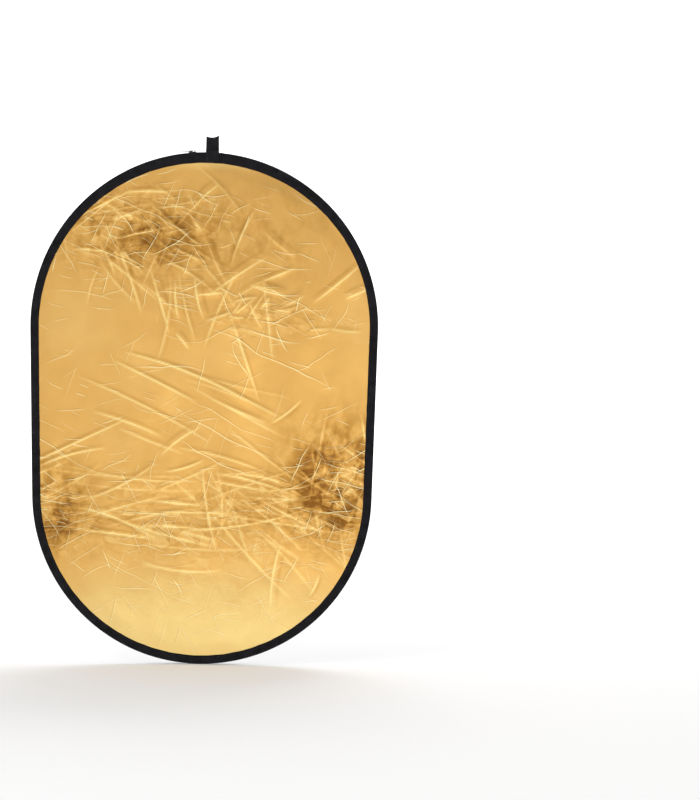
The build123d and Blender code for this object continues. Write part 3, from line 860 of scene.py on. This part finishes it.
nickel = grained_finish("black_nickel", (0.035, 0.035, 0.038), (0.12, 0.12, 0.125), (0.12, 0.38), 220.0, 5.0)
for node in ("zip_slider_body", "zip_pull_tab", "zip_bottom_stop"):
    metal_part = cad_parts[node]
    metal_part.data.materials.clear()
    metal_part.data.materials.append(nickel)
    rounded = metal_part.modifiers.new("rounded", "BEVEL")
    rounded.width = 0.15 * MM
    rounded.segments = 2
    rounded.limit_method = "ANGLE"
for side, cover, node in ((-1, "front_cover", "front_top_stop"), (1, "back_cover", "back_top_stop")):
    crimp = bmesh.new()
    bmesh.ops.create_cube(crimp, size=1.0)
    bmesh.ops.scale(crimp, vec=(2.1 * MM, 1.9 * MM, 1.5 * MM), verts=crimp.verts)
    bmesh.ops.bevel(crimp, geom=crimp.edges, offset=0.45 * MM, segments=3, profile=0.5, affect="EDGES",
                    material=-1)
    bmesh.ops.translate(crimp, vec=(-12.8 * MM, side * 1.6 * MM, 898.75 * MM), verts=crimp.verts)
    stop = finish_piece("stop_" + cover, crimp, nickel)
    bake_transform(stop)
    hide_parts(node)

# ---- Webbing: the hanging tab, its two legs and the gusset under it ----
# One strip of black polyester webbing folded over the rim: a leg sewn to each binding and a doubled tab
# above, its folded end drawn in at the middle. A folded scrap of it closes the gap between the coils.

webbing_cloth = cloth_finish("webbing_cloth", (0.006, 0.006, 0.007), (0.020, 0.020, 0.024), 0.6, 0.05,
                             1.5 * MM, True, 0.9)


def draw_strip(path, half_width_at, columns=12):
    """Strip of webbing drawn along a path of (y, z) points, with UV along and across it."""
    bm = bmesh.new()
    bmesh.ops.create_grid(bm, x_segments=columns, y_segments=len(path) - 1, size=1.0)
    lengths = [0.0]
    for first, second in zip(path, path[1:]):
        lengths.append(lengths[-1] + math.dist(first, second))
    layer = bm.loops.layers.uv.new("UVMap")
    rows = {}
    for v in bm.verts:
        row = round((v.co.y + 1) / 2 * (len(path) - 1))
        rows[v] = (v.co.x, row)
    for face in bm.faces:
        for corner in face.loops:
            u, row = rows[corner.vert]
            corner[layer].uv = (u * TAB_HALF_WIDTH, lengths[row])
    for v, (u, row) in rows.items():
        y, z = path[row]
        v.co = (TAB_X + u * half_width_at(z), y, z)
    return bm


def smooth_path(corners, steps):
    """Evenly placed points along a soft curve through the corners, (y, z) in metres."""
    line = bpy.data.curves.new("strip_line", "CURVE")
    line.dimensions = "3D"
    spline = line.splines.new("NURBS")
    spline.points.add(len(corners) - 1)
    for point, (y, z) in zip(spline.points, corners):
        point.co = (0, y * MM, z * MM, 1)
    spline.order_u = 3
    spline.use_endpoint_u = True
    spline.resolution_u = 24
    holder = bpy.data.objects.new("strip_line", line)
    mesh = bpy.data.meshes.new_from_object(holder)
    points = np.array([v.co for v in mesh.vertices])[:, 1:]
    bpy.data.objects.remove(holder)
    bpy.data.curves.remove(line)
    bpy.data.meshes.remove(mesh)
    run = np.concatenate([[0], np.cumsum(np.hypot(*np.diff(points, axis=0).T))])
    at = np.linspace(0, run[-1], steps + 1)
    return [(float(np.interp(a, run, points[:, 0])), float(np.interp(a, run, points[:, 1]))) for a in at]


def thicken(piece, thickness):
    """Gives a strip the webbing's thickness and soft edges."""
    web = piece.modifiers.new("webbing", "SOLIDIFY")
    web.thickness = thickness
    web.offset = 0
    web.use_even_offset = True
    soft = piece.modifiers.new("selvedge", "BEVEL")
    soft.width = 0.22 * MM
    soft.segments = 2
    soft.limit_method = "ANGLE"


def tab_width_at(z):
    """Half the tab's width at one height: drawn in slightly towards its folded end."""
    return TAB_HALF_WIDTH - 0.4 * MM * min(max((z - 0.903) / 0.024, 0), 1)


tab_path = smooth_path(
    [(-0.75, 903.3), (-0.95, 908), (-0.75, 914), (-0.85, 921), (-0.70, 925.5), (-0.62, 927.4), (0.0, 928.3),
     (0.62, 927.4), (0.70, 925.5), (0.85, 921), (0.75, 914), (0.95, 908), (0.75, 903.3)], 64)
tab_bm = draw_strip(tab_path, tab_width_at, 14)
for v in tab_bm.verts:
    middle = 1 - min(abs(v.co.x - TAB_X) / TAB_HALF_WIDTH, 1) ** 2
    height = min(max((v.co.z - 0.908) / 0.020, 0), 1)
    v.co.z -= 3.0 * MM * middle * height**2
    v.co.z += 0.8 * MM * (v.co.x - TAB_X) / TAB_HALF_WIDTH * height**2
    v.co.y += 0.25 * MM * noise.noise(Vector((v.co.x * 90, v.co.z * 70, 1.7)))
tab_strip = finish_piece("tab_strip", tab_bm, webbing_cloth)
thicken(tab_strip, 1.05 * MM)
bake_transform(tab_strip)
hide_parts("hanging_tab", "tab_root")

front_leg_path = smooth_path(
    [(-8.05, 880.8), (-8.1, 886), (-8.1, 893), (-8.0, 898.6), (-6.6, 901.2), (-3.2, 901.6), (-1.1, 901.9),
     (-0.75, 903.4)], 40)
front_leg = finish_piece("front_leg", draw_strip(front_leg_path, lambda z: TAB_HALF_WIDTH), webbing_cloth)
thicken(front_leg, 1.0 * MM)
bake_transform(front_leg)
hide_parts("tab_anchor_front")

back_leg_path = smooth_path(
    [(6.7, 880.8), (6.7, 886), (6.75, 893), (6.7, 898.6), (5.6, 901.0), (3.0, 901.5), (1.1, 901.9),
     (0.75, 903.4)], 40)
back_leg = finish_piece("back_leg", draw_strip(back_leg_path, lambda z: TAB_HALF_WIDTH), webbing_cloth)
thicken(back_leg, 1.0 * MM)
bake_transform(back_leg)
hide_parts("tab_anchor_back")

gusset = bmesh.new()
bmesh.ops.create_cube(gusset, size=1.0)
bmesh.ops.scale(gusset, vec=(28.6 * MM, 6.8 * MM, 2.4 * MM), verts=gusset.verts)
bmesh.ops.subdivide_edges(gusset, edges=gusset.edges, cuts=5, use_grid_fill=True)
for v in gusset.verts:
    v.co.z -= 0.9 * MM * (v.co.y / (3.4 * MM)) ** 2 - 0.15 * MM * noise.noise(v.co * 400)
bmesh.ops.translate(gusset, vec=(9.5 * MM, 0, 897.9 * MM), verts=gusset.verts)
corner_edges = [e for e in gusset.edges if e.calc_face_angle(0) > 1.0]
bmesh.ops.bevel(gusset, geom=corner_edges, offset=0.3 * MM, segments=2, profile=0.5, affect="EDGES",
                material=-1)
gusset_layer = gusset.loops.layers.uv.new("UVMap")
for face in gusset.faces:
    for corner in face.loops:
        corner[gusset_layer].uv = (corner.vert.co.x, corner.vert.co.y + corner.vert.co.z)
gusset_fold = finish_piece("gusset_fold", gusset, webbing_cloth)
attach(gusset_fold, "core")
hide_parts("top_gusset")


def box_stitching(name, y, z_low, z_high, half_wide, pitch=2.4 * MM):
    """Box of stitches with a cross in it, as webbing is sewn down."""
    bm = bmesh.new()
    places = ((-1, z_low), (1, z_low), (1, z_high), (-1, z_high))
    corners = [Vector((TAB_X + a * half_wide, y, b)) for a, b in places]
    runs = [(corners[i - 1], corners[i]) for i in range(4)]
    runs += [(corners[0], corners[2]), (corners[1], corners[3])]
    for first, second in runs:
        way = second - first
        count = max(3, round(way.length / pitch))
        for i in range(count):
            one_stitch(bm, first + way * (i + 0.5) / count, way.normalized(), pitch * 0.8, 0.5 * MM)
    return finish_piece(name, bm, thread_black)


front_box = box_stitching("front_box_stitch", -8.62 * MM, 0.8830, 0.8950, 8.6 * MM)
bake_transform(front_box)
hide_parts("anchor_thread_front")
back_box = box_stitching("back_box_stitch", 7.25 * MM, 0.8830, 0.8950, 8.6 * MM)
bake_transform(back_box)
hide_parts("anchor_thread_back")
for side, node in ((-1, "tab_thread_front"), (1, "tab_thread_back")):
    bars = bmesh.new()
    for z in (0.9105, 0.9125):
        for i in range(8):
            place = Vector((TAB_X + (i - 3.5) * 2.4 * MM, side * 1.42 * MM, z))
            one_stitch(bars, place, Vector((1, 0, 0)), 1.95 * MM, 0.5 * MM)
    bar_tack = finish_piece(node.replace("thread", "bars"), bars, thread_black)
    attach(bar_tack, "tab")
    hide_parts(node)

# ---- Hoop and its ferrule ----
# A flat strip of blued spring steel bent to the oval, its ends butted inside a crimped steel sleeve.
# It is what springs the disc open. It stays hidden in the core's sleeve.

blued_spring = grained_finish("blued_spring", (0.10, 0.11, 0.14), (0.34, 0.34, 0.36), (0.22, 0.44), 60.0, 6.0,
                              drawn_out=30.0)
ferrule_steel = grained_finish("ferrule_steel", (0.38, 0.38, 0.39), (0.66, 0.66, 0.66), (0.25, 0.47), 60.0,
                               6.0, drawn_out=4.0)
for node, finish in (
    ("spring_hoop", blued_spring),
    ("hoop_ferrule", ferrule_steel),
):
    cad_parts[node].data.materials.clear()
    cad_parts[node].data.materials.append(finish)

# ---- Diffuser core ----
# Translucent white nylon pulled flat across the hoop, with a black cloth sleeve sewn round its edge to
# hold the hoop. With the cover off it is used alone, to soften light.

diffuser_cloth = cloth_finish("diffuser_cloth", (0.86, 0.86, 0.89), (0.90, 0.90, 0.93), 0.45, 0.3,
                              0.6 * MM, False, 0.15)
diffuser_cloth.node_tree.nodes["Principled BSDF"].inputs["Transmission Weight"].default_value = 0.25
diffuser = pulled_lining("diffuser", diffuser_cloth, 9.5 * MM, 0.0, 4.4, False)
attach(diffuser, "core")
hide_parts("diffuser_panel")

SLEEVE_PROFILE = [
    (4.4, -1.2), (4.5, -2.4), (5.1, -3.3), (6.4, -3.7), (7.7, -3.5), (8.7, -2.6), (9.4, -1.6), (11.0, -1.1),
    (12.3, -0.95), (13.6, -1.1), (15.4, -1.05), (16.0, -0.7), (16.0, 0.7), (15.4, 1.05), (13.6, 1.1),
    (12.3, 0.95), (11.0, 1.1), (9.4, 1.6), (8.7, 2.6), (7.7, 3.5), (6.4, 3.7), (5.1, 3.3), (4.5, 2.4),
    (4.4, 1.2),
]
sleeve_section = [(inset * MM, y * MM) for inset, y in SLEEVE_PROFILE]
sleeve_ring = sweep_rim(sleeve_section, 5 * MM)
for v in sleeve_ring.verts:
    v.co.y += 0.18 * MM * noise.noise(Vector((v.co.x * 70, 2.0, v.co.z * 70)))
hoop_sleeve = finish_piece("hoop_sleeve", lay_rim_uv(sleeve_ring, sleeve_section), binding_cloth)
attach(hoop_sleeve, "core")
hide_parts("diffuser_binding")
for side, node in ((-1, "diffuser_thread_front"), (1, "diffuser_thread_back")):
    row = rim_seam(node.replace("thread", "seam"), 12.3 * MM, side * 1.12 * MM)
    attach(row, "core")
    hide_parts(node)

# ---- Studio ----
# Pale floor and sweep, a broad soft key from the upper left front, and low fill for the foil's lower half.
# Two more lights behind the disc keep the paper white.

LENS = 135.0
SENSOR_LONG_SIDE = 36.0
VIEW_HEIGHT = 1.4064
VIEW_TILT = math.radians(1.0)
VIEW_ROLL = math.radians(-0.85)
RIGHT_OF_DISC = 0.2580
ABOVE_DISC = 0.0146
view_distance = VIEW_HEIGHT * LENS / SENSOR_LONG_SIDE
camera_data = bpy.data.cameras.new("camera")
camera_data.lens = LENS
camera_data.sensor_width = SENSOR_LONG_SIDE
camera_data.clip_end = 60.0
camera = bpy.data.objects.new("camera", camera_data)
camera.rotation_euler = (math.pi / 2 - VIEW_TILT, VIEW_ROLL, 0)
turned = camera.rotation_euler.to_matrix()
right_of_view = turned @ Vector((1, 0, 0))
top_of_view = turned @ Vector((0, 1, 0))
back_of_view = turned @ Vector((0, 0, 1))
disc_middle = Vector((0, 0, DISC_HEIGHT / 2))
beside_disc = right_of_view * RIGHT_OF_DISC + top_of_view * ABOVE_DISC
camera.location = disc_middle + back_of_view * view_distance + beside_disc
bpy.context.scene.collection.objects.link(camera)
bpy.context.scene.camera = camera
bpy.context.scene.view_settings.view_transform = "Standard"

# The paper rises well behind the disc, so that it clears a camera that walks round the opened cover.
FLOOR_REACH = 9.0
FLOOR_BEFORE_DISC = 8.0
FLOOR_SIDE_REACH = 9.0
SWEEP_LENGTH = 23.0
SWEEP_BEND = 2.0
sweep = bmesh.new()
bmesh.ops.create_grid(sweep, x_segments=2, y_segments=116, size=1.0)
for corner in sweep.verts:
    run = (corner.co.y + 1) / 2 * SWEEP_LENGTH - FLOOR_BEFORE_DISC
    bend = min(max((run - FLOOR_REACH) / SWEEP_BEND, 0), math.pi / 2)
    rise = max(run - FLOOR_REACH - SWEEP_BEND * math.pi / 2, 0)
    corner.co.x *= FLOOR_SIDE_REACH
    corner.co.y = min(run, FLOOR_REACH) + SWEEP_BEND * math.sin(bend)
    corner.co.z = SWEEP_BEND * (1 - math.cos(bend)) + rise
floor_paint, floor_tree, floor_shader = new_finish("studio_paper")
grain = add_node(floor_tree, "ShaderNodeTexNoise", {"Scale": 3.0})
paper = add_node(floor_tree, "ShaderNodeMapRange", {"To Min": 0.90, "To Max": 0.93},
                 {"Value": grain.outputs["Fac"]})
floor_tree.links.new(paper.outputs[0], floor_shader.inputs["Base Color"])
floor_shader.inputs["Roughness"].default_value = 0.9
floor_shader.inputs["Emission Color"].default_value = (1, 1, 1, 1)
floor_shader.inputs["Emission Strength"].default_value = 0.10
studio = finish_piece("studio_sweep", sweep, floor_paint)


def soft_light(name, place, aim, size, power):
    """Rectangular white softbox, turned to face its aim."""
    data = bpy.data.lights.new(name, "AREA")
    data.shape = "RECTANGLE"
    data.size = size[0]
    data.size_y = size[1]
    data.energy = power
    lamp = bpy.data.objects.new(name, data)
    lamp.location = place
    lamp.rotation_euler = (Vector(aim) - Vector(place)).to_track_quat("-Z", "Y").to_euler()
    bpy.context.scene.collection.objects.link(lamp)


soft_light("key", (-1.8, -3.0, 2.6), (0, 0, 0.5), (1.6, 1.6), 31)
soft_light("low_fill", (0.6, -3.2, 0.25), (0, 0, 0.3), (2.4, 0.5), 7)
soft_light("right_fill", (2.6, -2.2, 1.4), (0, 0, 0.5), (1.0, 2.0), 3)
soft_light("back_light", (0.5, 3.0, 3.2), (0, 2.0, 0.4), (3.0, 2.0), 75)
soft_light("sweep_light", (0, 6.5, 4.5), (0, 10.5, 1.0), (6.0, 4.0), 350)
world = bpy.data.worlds.new("studio_air")
world.use_nodes = True
world.node_tree.nodes["Background"].inputs["Color"].default_value = (1, 1, 1, 1)
world.node_tree.nodes["Background"].inputs["Strength"].default_value = 0.62
bpy.context.scene.world = world
